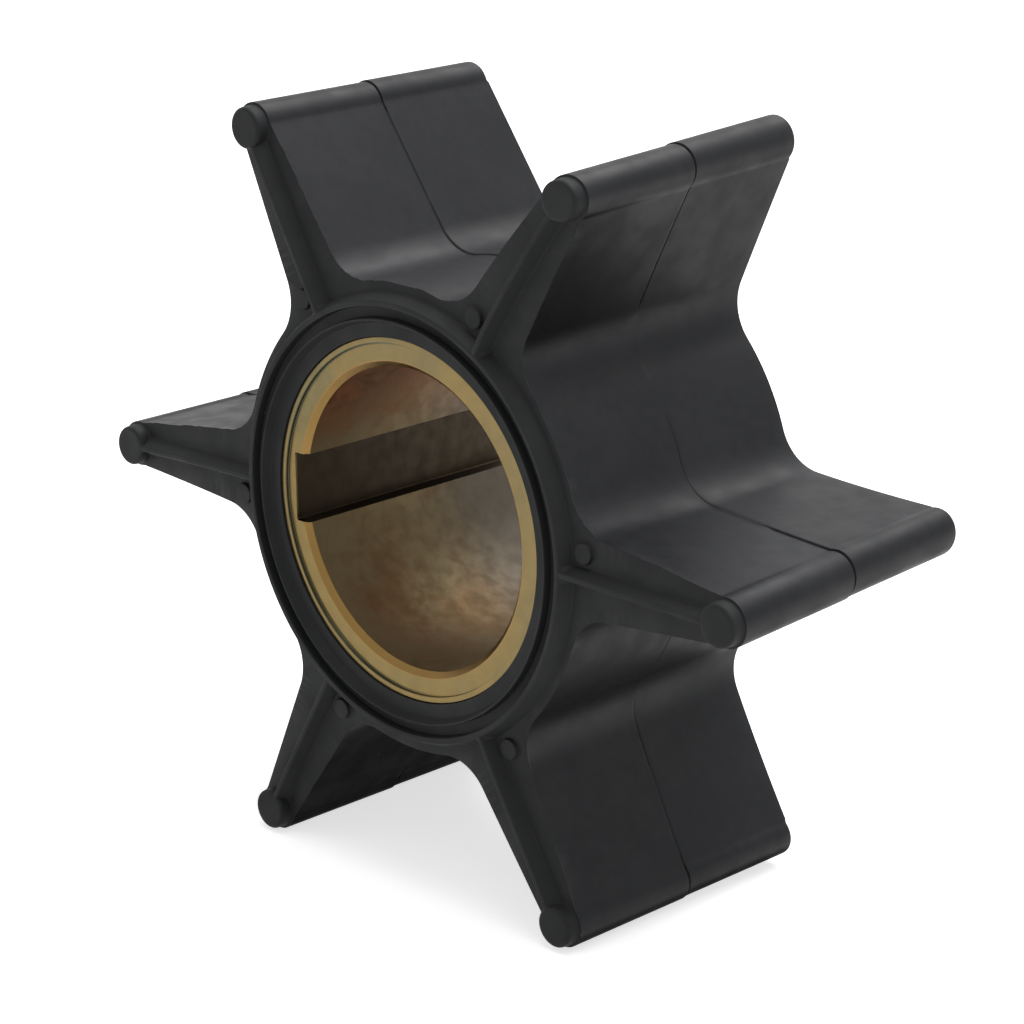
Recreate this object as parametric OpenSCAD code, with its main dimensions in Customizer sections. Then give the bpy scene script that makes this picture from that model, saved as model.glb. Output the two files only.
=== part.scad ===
// Flexible pump impeller: one rubber moulding with beaded vanes, bonded round a keyed brass hub.
// The shaft axis runs along Y, the end with the tip studs faces -Y and Z is up.
// The origin is on the shaft axis, midway between the two ends.

/* [Vanes] */
// Number of vanes
vane_count = 6; // [4:1:8]
// Diameter over the vane tips
tip_d = 64; // [58:0.5:72]
// Width of the vanes between their flat end faces
vane_w = 21.6; // [16:0.2:30]
// Thickness between the flanks, carried on to the middle of the tip bead
vane_tip_t = 3.3; // [2.8:0.05:3.35]
// Taper of each flank toward the tip, in degrees
flank_taper = 6; // [4:0.5:8]
// Diameter of the bead along each vane tip
bead_d = 3.5; // [3.44:0.02:4.2]
// Radius of the hollow between a flank and its bead
neck_r = 1; // [0.6:0.1:2]
// Radius of the hollow between a flank and the hub
root_r = 3.8; // [2:0.1:4.5]
// Rounding of the plain end of each bead
bead_end_r = 0.3; // [0.2:0.1:1]

/* [Hub moulding] */
// Outside diameter of the rubber hub between the vanes
hub_d = 34.3; // [34:0.1:36]
// Inside diameter of the sealing rim on each end
rim_d = 31.2; // [30.8:0.1:31.6]
// Width of the flat crest of the sealing rim
rim_crest_w = 0.4; // [0.3:0.05:0.6]
// Run-out of the sloping outer side of the sealing rim
rim_slope_w = 0.5; // [0.2:0.05:0.6]
// Height of the rim, ribs and studs above the vane end faces
crest_h = 1; // [0.6:0.05:1.6]
// Depth of the ring groove below the crest of the rim
groove_depth = 0.7; // [0.5:0.05:1.6]
// Width of the ring groove inside the rim
groove_w = 0.9; // [0.6:0.05:1.2]
// How far the inner lip stays below the crest of the rim
lip_drop = 0; // [0:0.05:0.3]
// Run-out of the lip's slope toward the brass hub
lip_slope_w = 0.3; // [0.2:0.05:0.6]
// Depth of the flat ledge round the brass hub below the crest of the rim
ledge_drop = 0.7; // [0.5:0.05:1]

/* [End face details] */
// Width of a rib along a vane, at its foot
rib_foot_w = 1.3; // [1:0.1:2]
// Width of the rib's flat crest
rib_crest_w = 0.48; // [0.3:0.02:0.8]
// Diameter of the stud at each vane tip
stud_d = 3.1; // [2.4:0.1:3.3]
// Rounding round the top of a stud
stud_edge_r = 0.22; // [0.1:0.02:0.3]
// Diameter of the small pip at each vane root
pip_d = 1.5; // [1:0.1:2]
// Height of the pip
pip_h = 0.3; // [0.2:0.05:0.5]
// Distance of the pip from the shaft axis, along its vane
pip_x = 17.6; // [17.2:0.1:19]
// Distance of the pip to the side of the rib's middle
pip_y = 1.7; // [1.5:0.05:1.9]
// Shift between the two mould halves, which leaves a fine step round the middle
mould_shift = 0.1; // [0.05:0.01:0.2]

/* [Brass hub] */
// Shaft bore
bore_d = 22.2; // [20:0.1:23]
// Outside diameter of the brass hub
brass_d = 26.6; // [26:0.1:27]
// Length of the brass hub over its two raised edges
brass_l = 21.9; // [16:0.1:30]
// Width of the raised edge that the rubber seals against
edge_w = 0.5; // [0.3:0.05:0.6]
// Height of that edge above the turned end face
edge_h = 0.25; // [0.1:0.05:0.4]
// Chamfer at each mouth of the bore
mouth_chamfer = 0.4; // [0.2:0.05:0.5]
// Width of the keyway
key_w = 5.2; // [4:0.1:6]
// Distance of the keyway floor from the shaft axis
key_floor = 12; // [11.9:0.05:12.2]

/* [Hidden] */
$fn = 96;

// Overlap that makes joined solids run into each other
sink = 0.3;
// How far a hollow's arc cuts past the surfaces that it joins
bite = 0.006;
// Angle between the points of a rounded edge
edge_step = 30;

vane_z = vane_w / 2;
crest_z = vane_z + crest_h;
bead_r = bead_d / 2;
bead_x = tip_d / 2 - bead_r;
// The moulding's vanes start under the sloping side of the sealing rim
core_x = rim_d / 2 + rim_crest_w + rim_slope_w / 2;
// Where the plain flanks end, just short of the bead's widest part
neck_x = bead_x - bead_r / 2;

// Unit vectors along the upper flank toward the tip, and out of it
flank_dir = [cos(flank_taper), -sin(flank_taper)];
flank_out = [sin(flank_taper), cos(flank_taper)];
flank_tip = [bead_x, vane_tip_t / 2];

function flank_y(x) = flank_tip.y + (bead_x - x) * tan(flank_taper);

// Centre of the arc of radius r between the flank and a circle of radius big round [x, 0]
// side is 1 where the arc lies outward of that circle, and -1 where it lies inward
function hollow_centre(x, big, r, side) =
    let (
        from_circle = flank_tip + (r - bite) * flank_out - [x, 0],
        along = from_circle * flank_dir,
        spare = from_circle * from_circle - pow(big + r - bite, 2)
    )
    [x, 0] + from_circle + (side * sqrt(along * along - spare) - along) * flank_dir;

// Points of a quarter circle from the side [r, 0] to the top [0, r] of a rounded edge
function quarter(r) = [for (a = [0 : edge_step : 90]) r * [cos(a), sin(a)]];

// Cross-sections

// Web in the corner between the flank and a circle, hollowed to an arc that runs into both
module hollow_corner(x, big, r, side, core) {
    c = hollow_centre(x, big, r, side);
    reach = r + sink;
    difference() {
        polygon([
            c,
            c - reach * flank_out,
            [core, 0],
            c + reach * ([x, 0] - c) / norm([x, 0] - c)
        ]);
        translate(c)
            circle(r = r);
    }
}

// Both flanks of a vane, with the hollows into the hub and into the bead
module flank_section() {
    polygon([
        [core_x, -flank_y(core_x)],
        [neck_x, -flank_y(neck_x)],
        [neck_x, flank_y(neck_x)],
        [core_x, flank_y(core_x)]
    ]);
    for (m = [0, 1])
        mirror([0, m]) {
            hollow_corner(0, hub_d / 2, root_r, 1, core_x);
            hollow_corner(bead_x, bead_r, neck_r, -1, neck_x - sink);
        }
}

// Vanes and the hub that they stand on, as one outline, with or without the tip beads
module star_section(beaded) {
    circle(d = hub_d);
    ring_of_vanes() {
        flank_section();
        if (beaded)
            translate([bead_x, 0])
                circle(r = bead_r);
    }
}

// Revolved section of the hub's end: sealing rim, ring groove, inner lip and ledge
// It starts inside the other half of the moulding, so that the two halves grow together
module hub_end_section() {
    rim_r = rim_d / 2;
    lip_r = rim_r - groove_w;
    groove_z = crest_z - groove_depth;
    lip_z = crest_z - lip_drop;
    ledge_z = crest_z - ledge_drop;
    lip_crest_w = rim_crest_w / 3;
    inner_r = brass_d / 2 - sink;
    slope_w = rim_slope_w * (crest_h + sink) / crest_h;
    polygon([
        [inner_r, -sink],
        [core_x, -sink],
        [core_x, vane_z - sink],
        [rim_r + rim_crest_w + slope_w, vane_z - sink],
        [rim_r + rim_crest_w, crest_z],
        [rim_r, crest_z],
        [rim_r, groove_z],
        [lip_r, groove_z],
        [lip_r, lip_z],
        [lip_r - lip_crest_w, lip_z],
        [lip_r - lip_crest_w - lip_slope_w, ledge_z],
        [inner_r, ledge_z]
    ]);
}

// Solids of one half of the moulding, on the side of its end face

// Bead along a vane tip, from the parting plane, with its end edge rounded by end_r
module bead(end_r) {
    edge = [bead_r - end_r, vane_z - end_r];
    translate([bead_x, 0, 0])
        rotate_extrude()
            polygon(concat([[0, 0], [bead_r, 0]], [for (p = quarter(end_r)) edge + p], [[0, vane_z]]));
}

// Narrow rib that runs along a vane from the sealing rim out to x = last
// Its crest stops short of that by run_out, and slopes down
module rib(last, run_out = 0) {
    first = (rim_d + rim_crest_w) / 2;
    translate([first, 0, vane_z])
        intersection() {
            rotate([90, 0, 90])
                linear_extrude(last - first)
                    polygon([
                        [-rib_foot_w / 2, -sink],
                        [rib_foot_w / 2, -sink],
                        [rib_foot_w / 2, 0],
                        [rib_crest_w / 2, crest_h],
                        [-rib_crest_w / 2, crest_h],
                        [-rib_foot_w / 2, 0]
                    ]);
            translate([0, rib_foot_w, 0])
                rotate([90, 0, 0])
                    linear_extrude(2 * rib_foot_w)
                        polygon([
                            [0, -sink],
                            [last - first, -sink],
                            [last - first - run_out, crest_h],
                            [0, crest_h]
                        ]);
        }
}

// Round stud on the end of a bead, as high as the rib that runs into it
module stud() {
    edge = [stud_d / 2 - stud_edge_r, crest_z - stud_edge_r];
    foot_z = vane_z - sink;
    translate([bead_x, 0, 0])
        rotate_extrude()
            polygon(concat(
                [[0, foot_z], [stud_d / 2, foot_z]],
                [for (p = quarter(stud_edge_r)) edge + p],
                [[0, crest_z]]
            ));
}

module pip() {
    translate([pip_x, pip_y, vane_z - sink])
        cylinder(d = pip_d, h = pip_h + sink);
}

module ring_of_vanes() {
    for (i = [0 : vane_count - 1])
        rotate([0, 0, i * 360 / vane_count])
            children();
}

// Hub and vanes of one half, and the end of its hub
module half_body(beaded) {
    difference() {
        linear_extrude(vane_z)
            star_section(beaded);
        translate([0, 0, -sink])
            cylinder(d = rim_d + rim_crest_w, h = vane_z + 2 * sink);
    }
    rotate_extrude()
        hub_end_section();
}

// Half with a rib, a stud and a pip on each vane
module studded_half() {
    half_body(true);
    ring_of_vanes() {
        rib(bead_x);
        stud();
        pip();
    }
}

// Half whose ribs run down onto the rounded ends of the beads
module plain_half() {
    half_body(false);
    ring_of_vanes() {
        bead(bead_end_r);
        rib(bead_x, crest_h);
    }
}

// The whole rubber moulding: hub sleeve, vanes, ribs, rims and studs are one piece
module rubber_vanes() {
    color("#2b2d30")
        rotate([90, 0, 0])
            difference() {
                union() {
                    studded_half();
                    translate([0, mould_shift, 0])
                        mirror([0, 0, 1])
                            plain_half();
                }
                cylinder(d = brass_d, h = 2 * (crest_z + sink), center = true);
            }
}

// Turned brass hub with a raised edge at each end and a keyway along its bore
module brass_hub() {
    outer_r = brass_d / 2;
    bore_r = bore_d / 2;
    edge_z = brass_l / 2;
    face_z = edge_z - edge_h;
    half = [
        [bore_r, face_z - mouth_chamfer],
        [bore_r + mouth_chamfer, face_z],
        [outer_r - edge_w, face_z],
        [outer_r - edge_w, edge_z],
        [outer_r, edge_z]
    ];
    other_half = [for (i = [len(half) - 1 : -1 : 0]) [half[i].x, -half[i].y]];
    color("#c9a45c")
        rotate([90, 0, 0])
            difference() {
                rotate_extrude()
                    polygon(concat(half, other_half));
                translate([-key_floor, -key_w / 2, -edge_z - sink])
                    cube([key_floor, key_w, 2 * (edge_z + sink)]);
            }
}

rubber_vanes();
brass_hub();
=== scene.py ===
"""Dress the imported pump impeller: its moulded rubber, its turned brass hub, a floor, lamps and a camera.

Shapes are worked out in millimetres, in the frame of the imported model, and stored in metres.
The shaft axis runs along Y, the end with the studs faces -Y and Z is up.
"""
import math

import bpy
import numpy as np
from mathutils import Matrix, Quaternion, Vector
from mathutils.geometry import delaunay_2d_cdt


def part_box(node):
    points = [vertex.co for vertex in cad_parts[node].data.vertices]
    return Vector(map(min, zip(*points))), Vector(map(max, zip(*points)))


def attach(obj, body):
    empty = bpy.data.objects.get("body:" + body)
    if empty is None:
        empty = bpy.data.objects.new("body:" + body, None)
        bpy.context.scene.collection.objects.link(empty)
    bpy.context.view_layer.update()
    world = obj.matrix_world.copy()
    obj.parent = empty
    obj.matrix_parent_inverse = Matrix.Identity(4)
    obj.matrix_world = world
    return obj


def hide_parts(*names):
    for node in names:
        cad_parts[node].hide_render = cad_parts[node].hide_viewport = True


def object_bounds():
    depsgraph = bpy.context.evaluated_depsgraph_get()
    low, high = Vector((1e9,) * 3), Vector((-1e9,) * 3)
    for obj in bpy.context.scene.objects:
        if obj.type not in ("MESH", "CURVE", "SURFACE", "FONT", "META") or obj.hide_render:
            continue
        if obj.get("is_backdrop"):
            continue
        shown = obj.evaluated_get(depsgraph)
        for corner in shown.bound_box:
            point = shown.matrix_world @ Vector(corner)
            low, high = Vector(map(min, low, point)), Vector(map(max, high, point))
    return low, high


bl_info = {
    "name": "Pump impeller",
    "version": (1, 0, 0),
    "blender": (4, 5, 0),
    "location": "View3D > Sidebar > Impeller",
    "description": "Moulded rubber vanes on a turned brass hub",
    "category": "Add Mesh",
}

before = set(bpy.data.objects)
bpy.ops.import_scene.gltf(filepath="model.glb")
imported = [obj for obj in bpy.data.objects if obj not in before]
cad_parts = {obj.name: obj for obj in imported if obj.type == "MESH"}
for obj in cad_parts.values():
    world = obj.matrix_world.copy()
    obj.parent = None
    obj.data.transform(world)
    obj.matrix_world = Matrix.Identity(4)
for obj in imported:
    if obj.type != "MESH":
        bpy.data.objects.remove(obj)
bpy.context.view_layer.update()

MM = 0.001
FRONT, REAR = -1, 1
rubber_low, rubber_high = (np.array(corner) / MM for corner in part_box("rubber_vanes"))
_, brass_high = (np.array(corner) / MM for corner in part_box("brass_hub"))

VANES = 6
VANE_STEP = 2 * math.pi / VANES
TIP_R = rubber_high[0]
# The rear half of the moulding stands a little higher than the front half
MOULD_SHIFT = rubber_high[2] + rubber_low[2]
# The lowest beads lie 60 degrees below the horizontal
BEAD_X = (TIP_R + rubber_low[2]) / (1 - math.sin(VANE_STEP))
BEAD_R = TIP_R - BEAD_X
BRASS_R = brass_high[0]
BRASS_Y = brass_high[1]

# The most of a straight leg that one rounding takes up
LEG_SHARE = 0.45
# Grid steps per millimetre on which coinciding points are found and joined
JOIN_STEPS = 2e4
# Points round a stud and round a pip, and millimetres between the points along a rib
STUD_POINTS = 48
PIP_POINTS = 24
RIB_STEP = 0.7
# How fast the lean of a soft vane grows toward its tip
LEAN_POWER = 1.6


# Outlines and profiles in the plane of an end face, in millimetres

def turn(points, angle):
    """Points (x, z) turned by angle about the shaft axis: x cos a - z sin a, x sin a + z cos a."""
    c, s = math.cos(angle), math.sin(angle)
    return points @ np.array([[c, s], [-s, c]])


def arc(centre, radius, start, end, spacing):
    """Points centre + radius (cos a, sin a) for a from start to end, and the directions (cos a, sin a)."""
    count = max(3, round(abs(end - start) * radius / spacing) + 1)
    a = np.linspace(start, end, count)
    way = np.stack([np.cos(a), np.sin(a)], 1)
    return np.asarray(centre) + radius * way, way


def circle(centre, radius, count):
    """count points centre + radius (cos a, sin a), a running once round."""
    a = np.arange(count) * (2 * math.pi / count)
    return np.asarray(centre) + radius * np.stack([np.cos(a), np.sin(a)], 1)


def angle_of(way):
    """Angle of a direction (x, z), from +x toward +z."""
    return math.atan2(way[1], way[0])


def softened(corners, reach, steps=4):
    """A polyline whose inner corners P are replaced by parabolas (1-t)^2 A + 2t(1-t) P + t^2 B.

    A and B lie on the two legs at the distance reach from P, or at LEG_SHARE of a shorter leg.
    """
    corners = np.asarray(corners, float)
    t = np.linspace(0, 1, steps + 1)[:, None]
    out = [corners[:1]]
    for before, corner, after in zip(corners, corners[1:], corners[2:]):
        back, on = before - corner, after - corner
        a = corner + back * min(LEG_SHARE, reach / np.linalg.norm(back))
        b = corner + on * min(LEG_SHARE, reach / np.linalg.norm(on))
        out.append((1 - t) ** 2 * a + 2 * t * (1 - t) * corner + t ** 2 * b)
    out.append(corners[-1:])
    return np.concatenate(out)


def ragged(lengths, period, wavelength, seed):
    """Smooth random values from 0 to 1 at the given places along a closed loop of length period.

    Seeded random knots one wavelength apart are joined by half cosine waves.
    """
    knots = max(4, round(period / wavelength))
    values = np.random.default_rng(seed).random(knots)
    place = lengths / period * knots
    low = np.floor(place).astype(int)
    blend = (1 - np.cos(np.pi * (place - low))) / 2
    return values[low % knots] * (1 - blend) + values[(low + 1) % knots] * blend


def loop_lengths(points):
    """Distance along a closed loop at each of its points, and its whole length."""
    steps = np.linalg.norm(np.roll(points, -1, 0) - points, axis=1)
    return np.concatenate([[0], np.cumsum(steps)[:-1]]), steps.sum()


class Outline:
    """The closed outline of hub and vanes: points, outward directions and the share of bead at each point."""

    def __init__(self, form):
        upper = self.half_vane(form)
        flip = np.array([1, -1])
        lower = [upper[0][::-1] * flip, upper[1][::-1] * flip, upper[2][::-1]]
        vane = [np.concatenate([low[:-1], up[:-1]]) for low, up in zip(lower, upper)]
        turns = [i * VANE_STEP for i in range(VANES)]
        self.points = np.concatenate([turn(vane[0], a) for a in turns])
        self.ways = np.concatenate([turn(vane[1], a) for a in turns])
        self.bead = np.tile(vane[2], VANES)
        self.lengths, self.period = loop_lengths(self.points)

    @staticmethod
    def half_vane(form):
        """Outline from a vane's tip to halfway to the next vane: bead, neck, flank, root hollow and hub.

        Each hollow is an arc whose centre is its radius away from the straight flank and touches a circle:
        the centre lies where a line beside the flank meets a circle round the bead or round the shaft.
        """
        taper = form.flank_taper
        along = np.array([math.cos(taper), -math.sin(taper)])
        out = np.array([math.sin(taper), math.cos(taper)])
        flank = np.array([BEAD_X, form.tip_thickness / MM / 2])
        hub_r, root_r, neck_r = form.hub_radius / MM, form.root_radius / MM, form.neck_radius / MM
        spacing = form.point_spacing / MM
        bead_centre = np.array([BEAD_X, 0])

        def hollow_centre(about, radius, big, side):
            start = flank + radius * out - about
            reach = start @ along
            spare = start @ start - (big + radius) ** 2
            return about + start + (side * math.sqrt(reach * reach - spare) - reach) * along

        neck = hollow_centre(bead_centre, neck_r, BEAD_R, -1)
        root = hollow_centre(np.zeros(2), root_r, hub_r, 1)
        to_bead = (bead_centre - neck) / (BEAD_R + neck_r)
        to_hub = -root / (hub_r + root_r)
        full = 2 * math.pi

        bead = arc(bead_centre, BEAD_R, 0, angle_of(-to_bead), spacing / 2)
        hollow = arc(neck, neck_r, angle_of(to_bead), angle_of(-out), spacing)
        foot, head = neck - neck_r * out, root - root_r * out
        count = round(np.linalg.norm(head - foot) / spacing) + 1
        straight = foot + np.linspace(0, 1, count)[:, None] * (head - foot)
        root_arc = arc(root, root_r, angle_of(-out), angle_of(to_hub) % -full, spacing)
        hub = arc((0, 0), hub_r, angle_of(-to_hub), VANE_STEP / 2, spacing)

        points = [bead[0], hollow[0][1:], straight[1:], root_arc[0][1:], hub[0][1:]]
        ways = [bead[1], -hollow[1][1:], np.tile(out, (count - 1, 1)), -root_arc[1][1:], hub[1][1:]]
        fade = (1 + np.cos(np.linspace(0, np.pi, len(hollow[0])))) / 2
        plain = sum(len(p) for p in points[2:])
        share = np.concatenate([np.ones(len(bead[0])), fade[1:], np.zeros(plain)])
        return [np.concatenate(points), np.concatenate(ways), share]


# Meshes

class Skin:
    """Collects vertices and faces of one closed surface, then joins what coincides."""

    def __init__(self):
        self.vertices, self.triangles, self.count = [], [], 0

    def add(self, points, triangles):
        self.vertices.append(np.asarray(points, float))
        self.triangles.append(np.asarray(triangles, int) + self.count)
        self.count += len(points)

    def add_wall(self, rows):
        """Closed strips between rows of points (levels, n, 3), facing right of the loop's way as y grows."""
        levels, n, _ = rows.shape
        here = np.arange(n)
        there = (here + 1) % n
        low = (np.arange(levels - 1) * n)[:, None]
        a, b = low + here, low + there
        c, d = b + n, a + n
        self.add(rows.reshape(-1, 3), np.concatenate(
            [np.stack([a, d, b], -1).reshape(-1, 3), np.stack([b, d, c], -1).reshape(-1, 3)]))

    def piece(self, name, sharp_angle):
        """A mesh object in metres, with doubles joined and creases past sharp_angle kept sharp."""
        points = np.concatenate(self.vertices)
        triangles = np.concatenate(self.triangles)
        grid = np.round(points * JOIN_STEPS).astype(np.int64)
        _, first, where = np.unique(grid, axis=0, return_index=True, return_inverse=True)
        triangles = where.reshape(-1)[triangles]
        whole = (triangles[:, 0] != triangles[:, 1]) & (triangles[:, 1] != triangles[:, 2]) \
            & (triangles[:, 2] != triangles[:, 0])
        mesh = bpy.data.meshes.new(name)
        mesh.from_pydata(points[first] * MM, [], triangles[whole].tolist())
        mesh.shade_smooth()
        mesh.set_sharp_from_angle(angle=sharp_angle)
        obj = bpy.data.objects.new(name, mesh)
        bpy.context.scene.collection.objects.link(obj)
        weigh = obj.modifiers.new("flat faces stay flat", "WEIGHTED_NORMAL")
        weigh.keep_sharp = True
        weigh.weight = 100
        return obj


def inside(points, loop):
    """True for each point whose ray toward +x crosses the closed loop an odd number of times."""
    a, b = loop, np.roll(loop, -1, 0)
    x, z = points[:, 0, None], points[:, 1, None]
    spans = (a[:, 1] > z) != (b[:, 1] > z)
    rise = np.where(b[:, 1] == a[:, 1], 1, b[:, 1] - a[:, 1])
    crossing = a[:, 0] + (z - a[:, 1]) / rise * (b[:, 0] - a[:, 0])
    return (spans & (x < crossing)).sum(1) % 2 == 1


def tiled(outer, inner, lines):
    """Triangles that fill the space between two closed loops and follow every line, as (points, triangles).

    lines holds (points, closed) pairs. Triangles whose middle lies outside the space are left out.
    """
    points, edges = [], []
    for loop, closed in [(outer, True), (inner, True), *lines]:
        n, base = len(loop), len(points)
        points += [Vector(p) for p in loop]
        edges += [(base + i, base + i + 1) for i in range(n - 1)]
        if closed:
            edges.append((base + n - 1, base))
    made = delaunay_2d_cdt(points, edges, [], 0, 1e-5)
    flat = np.array([p[:] for p in made[0]])
    faces = np.array([f for f in made[2] if len(f) == 3])
    middle = flat[faces].mean(1)
    faces = faces[inside(middle, outer) & ~inside(middle, inner)]
    a, b, c = (flat[faces[:, i]] for i in range(3))
    area = (b[:, 0] - a[:, 0]) * (c[:, 1] - a[:, 1]) - (b[:, 1] - a[:, 1]) * (c[:, 0] - a[:, 0])
    faces = np.where((area < 0)[:, None], faces[:, ::-1], faces)
    return flat, faces[np.abs(area) > 1e-9]


# The rubber moulding

class RubberEnd:
    """Heights of everything that stands on one end face, and the lines along which they bend."""

    def __init__(self, form, side):
        self.side = side
        crest = form.crest_height / MM
        lip = crest - form.lip_drop / MM
        ledge = crest - form.ledge_drop / MM
        floor = crest - form.groove_depth / MM
        rim_r = form.rim_radius / MM
        lip_r = rim_r - form.groove_width / MM
        wall = form.wall_draft / MM
        soft = form.edge_softness / MM
        rim_w, slope_w = form.rim_crest / MM, form.rim_slope / MM
        # The lip's flat crest is a third as wide as the rim's
        lip_in = lip_r - rim_w / 3
        self.ring = softened([
            (BRASS_R, ledge),
            (lip_in - form.lip_slope / MM, ledge),
            (lip_in, lip),
            (lip_r, lip),
            (lip_r + wall, floor),
            (rim_r - wall, floor),
            (rim_r, crest),
            (rim_r + rim_w, crest),
            (rim_r + rim_w + slope_w, 0),
            (rim_r + rim_w + slope_w + wall * 4, 0),
        ], soft)
        # Inside this circle on the rim's crest the end is turned, and outside it ribs and studs stand on it
        self.split_r = rim_r + rim_w * 0.6
        foot, top = form.rib_foot / MM / 2, form.rib_crest / MM / 2
        self.rib = softened([(0, crest), (top, crest), (foot, 0), (foot + soft * 3, 0)], soft)
        stud_r = form.stud_radius / MM
        self.stud = softened([
            (0, crest), (stud_r - wall, crest), (stud_r, 0), (BEAD_R - wall, 0)
        ], form.stud_softness / MM)
        pip_r = form.pip_radius / MM
        self.pip = softened([
            (0, form.pip_height / MM), (pip_r, form.pip_height / MM), (pip_r + wall, 0), (pip_r + wall * 4, 0)
        ], soft)
        self.pip_at = np.array([form.pip_along, form.pip_across]) / MM
        self.crest = crest

    def heights(self, points):
        """Height over the end face: the highest of rim, rib, stud and pip at each point."""
        radius = np.linalg.norm(points, axis=1)
        vane = np.round(np.arctan2(points[:, 1], points[:, 0]) / VANE_STEP)
        c, s = np.cos(vane * VANE_STEP), np.sin(vane * VANE_STEP)
        u = points[:, 0] * c + points[:, 1] * s
        v = -points[:, 0] * s + points[:, 1] * c
        ring = np.interp(radius, *self.ring.T)
        rib = np.interp(np.abs(v), *self.rib.T)
        bead = np.hypot(u - BEAD_X, v)
        if self.side == FRONT:
            rib = np.where(u > BEAD_X, 0, rib)
            tip = np.interp(bead, *self.stud.T)
            pip = np.interp(np.hypot(u - self.pip_at[0], v - self.pip_at[1]), *self.pip.T)
            tip = np.maximum(tip, pip)
        else:
            rib = np.minimum(rib, np.clip(BEAD_X - u, 0, self.crest))
            tip = 0
        return np.where(radius < self.split_r, ring, np.maximum(ring, np.maximum(rib, tip)))

    def lines(self, circle_points):
        """Circles of the rim's slope, lines along each rib, and circles of each stud and pip."""
        found = []
        for r in self.ring[self.ring[:, 0] > self.split_r + 1e-3, 0]:
            found.append((circle((0, 0), r, circle_points), True))
        run = np.arange(self.split_r + 0.25, BEAD_X, RIB_STEP)
        for k in range(VANES):
            a = k * VANE_STEP
            last = BEAD_X if self.side == REAR else BEAD_X - self.stud[-2, 0] + 0.1
            stops = np.append(run[run < last - 0.2], last)
            for v in self.rib[1:, 0]:
                for way in (-v, v):
                    found.append((turn(np.stack([stops, np.full_like(stops, way)], 1), a), False))
            if self.side == FRONT:
                for r in self.stud[1:-1, 0]:
                    found.append((turn(circle((BEAD_X, 0), r, STUD_POINTS), a), True))
                for r in self.pip[1:, 0]:
                    found.append((turn(circle(self.pip_at, r, PIP_POINTS), a), True))
            else:
                for u in (BEAD_X - self.crest, BEAD_X - 1e-3):
                    wide = self.rib[-1, 0]
                    found.append((turn(np.array([(u, -wide), (u, wide)]), a), False))
        return found


def wall_rows(outline, form):
    """Rows of the side wall from the front end face to the rear one, as (levels, n, 3).

    Each row is the outline moved out by an offset and raised by its share of the mould shift:
    a ragged fin of flash along the upper and right sides of the front edge, a fine groove at the
    parting plane, deeper round the beads, and a rounded rear edge. The step between the halves is crisp
    round the beads and along some stretches of the flanks, and eased elsewhere.
    """
    half = form.vane_width / MM / 2
    lengths, period = outline.lengths, outline.period
    # The fin stands where a coarse wave is high, and a fine wave nibbles at it
    coarse = ragged(lengths, period, wavelength=2.2, seed=3)
    fine = ragged(lengths, period, wavelength=0.4, seed=5)
    upper = np.clip(outline.ways.sum(1) * 1.5, 0, 1)
    fin = form.flash_height / MM * np.clip((coarse - 0.35) * 3, 0, 1) * (0.25 + 0.75 * fine)
    fin = fin * (1 - outline.bead) * upper
    stretch = np.clip(ragged(lengths, period, wavelength=4, seed=9) * 2.4 - 0.7, 0, 1)
    crisp = stretch + (1 - stretch) * outline.bead
    eased = 1 - crisp
    groove = form.parting_depth / MM * crisp * (0.35 + 0.65 * outline.bead)
    wide = form.parting_width / MM / 2
    zero = np.zeros_like(lengths)
    edge = form.edge_softness / MM
    rear = edge + (form.bead_end_radius / MM - edge) * outline.bead

    # Each row: its place along y, its offset outward and its share of the mould shift
    rows = [
        (-half, fin - 0.04, 0),
        (-half + 0.02, fin, 0),
        (-half + 0.06, fin, 0),
        (-half + 0.09, 0.3 * fin, 0),
        (-half + 0.16, zero, 0),
    ]
    straight = (0.5, 1.5, 3, 5, 7, 8.5, 9.6)
    rows += [(-y, zero, 0) for y in straight[::-1]]
    rows += [
        (-2.5 * wide, zero, 0),
        (-wide, zero, 0.3 * eased),
        (-0.4 * wide, -groove, 0.42 * eased),
        (0.4 * wide, -groove, 1 - 0.42 * eased),
        (wide, zero, 1 - 0.3 * eased),
        (2.5 * wide, zero, 1),
    ]
    rows += [(y, zero, 1) for y in straight]
    for phi in np.radians(np.arange(0, 91, 18)):
        rows.append((half - rear * (1 - math.sin(phi)), -rear * (1 - math.cos(phi)), 1))

    made = []
    for y, offset, share in rows:
        flat = outline.points + outline.ways * offset[:, None]
        made.append(np.stack([flat[:, 0], zero + y, flat[:, 1] + share * MOULD_SHIFT], 1))
    return np.array(made)


def leaned(points, form):
    """Points of the soft vanes, bent sideways in their own plane.

    A vane's middle line moves across by tan(lean) times the tip's radius times a power of the share of the
    vane's length that lies between hub and point. The lean runs from its front to its rear value along y.
    """
    half = form.vane_width / MM / 2
    start = form.hub_radius / MM
    reach = TIP_R - start
    around = np.arctan2(points[:, 2], points[:, 0])
    vane = np.round(around / VANE_STEP).astype(int) % VANES
    c, s = np.cos(vane * VANE_STEP), np.sin(vane * VANE_STEP)
    u = points[:, 0] * c + points[:, 2] * s
    rear_share = np.clip((points[:, 1] / half + 1) / 2, 0, 1)
    front, rear = np.array(form.lean_front)[vane], np.array(form.lean_rear)[vane]
    lean = np.tan(front + (rear - front) * rear_share)
    push = lean * TIP_R * np.clip((u - start) / reach, 0, None) ** LEAN_POWER
    moved = points.copy()
    moved[:, 0] -= push * s
    moved[:, 2] += push * c
    return moved


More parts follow.
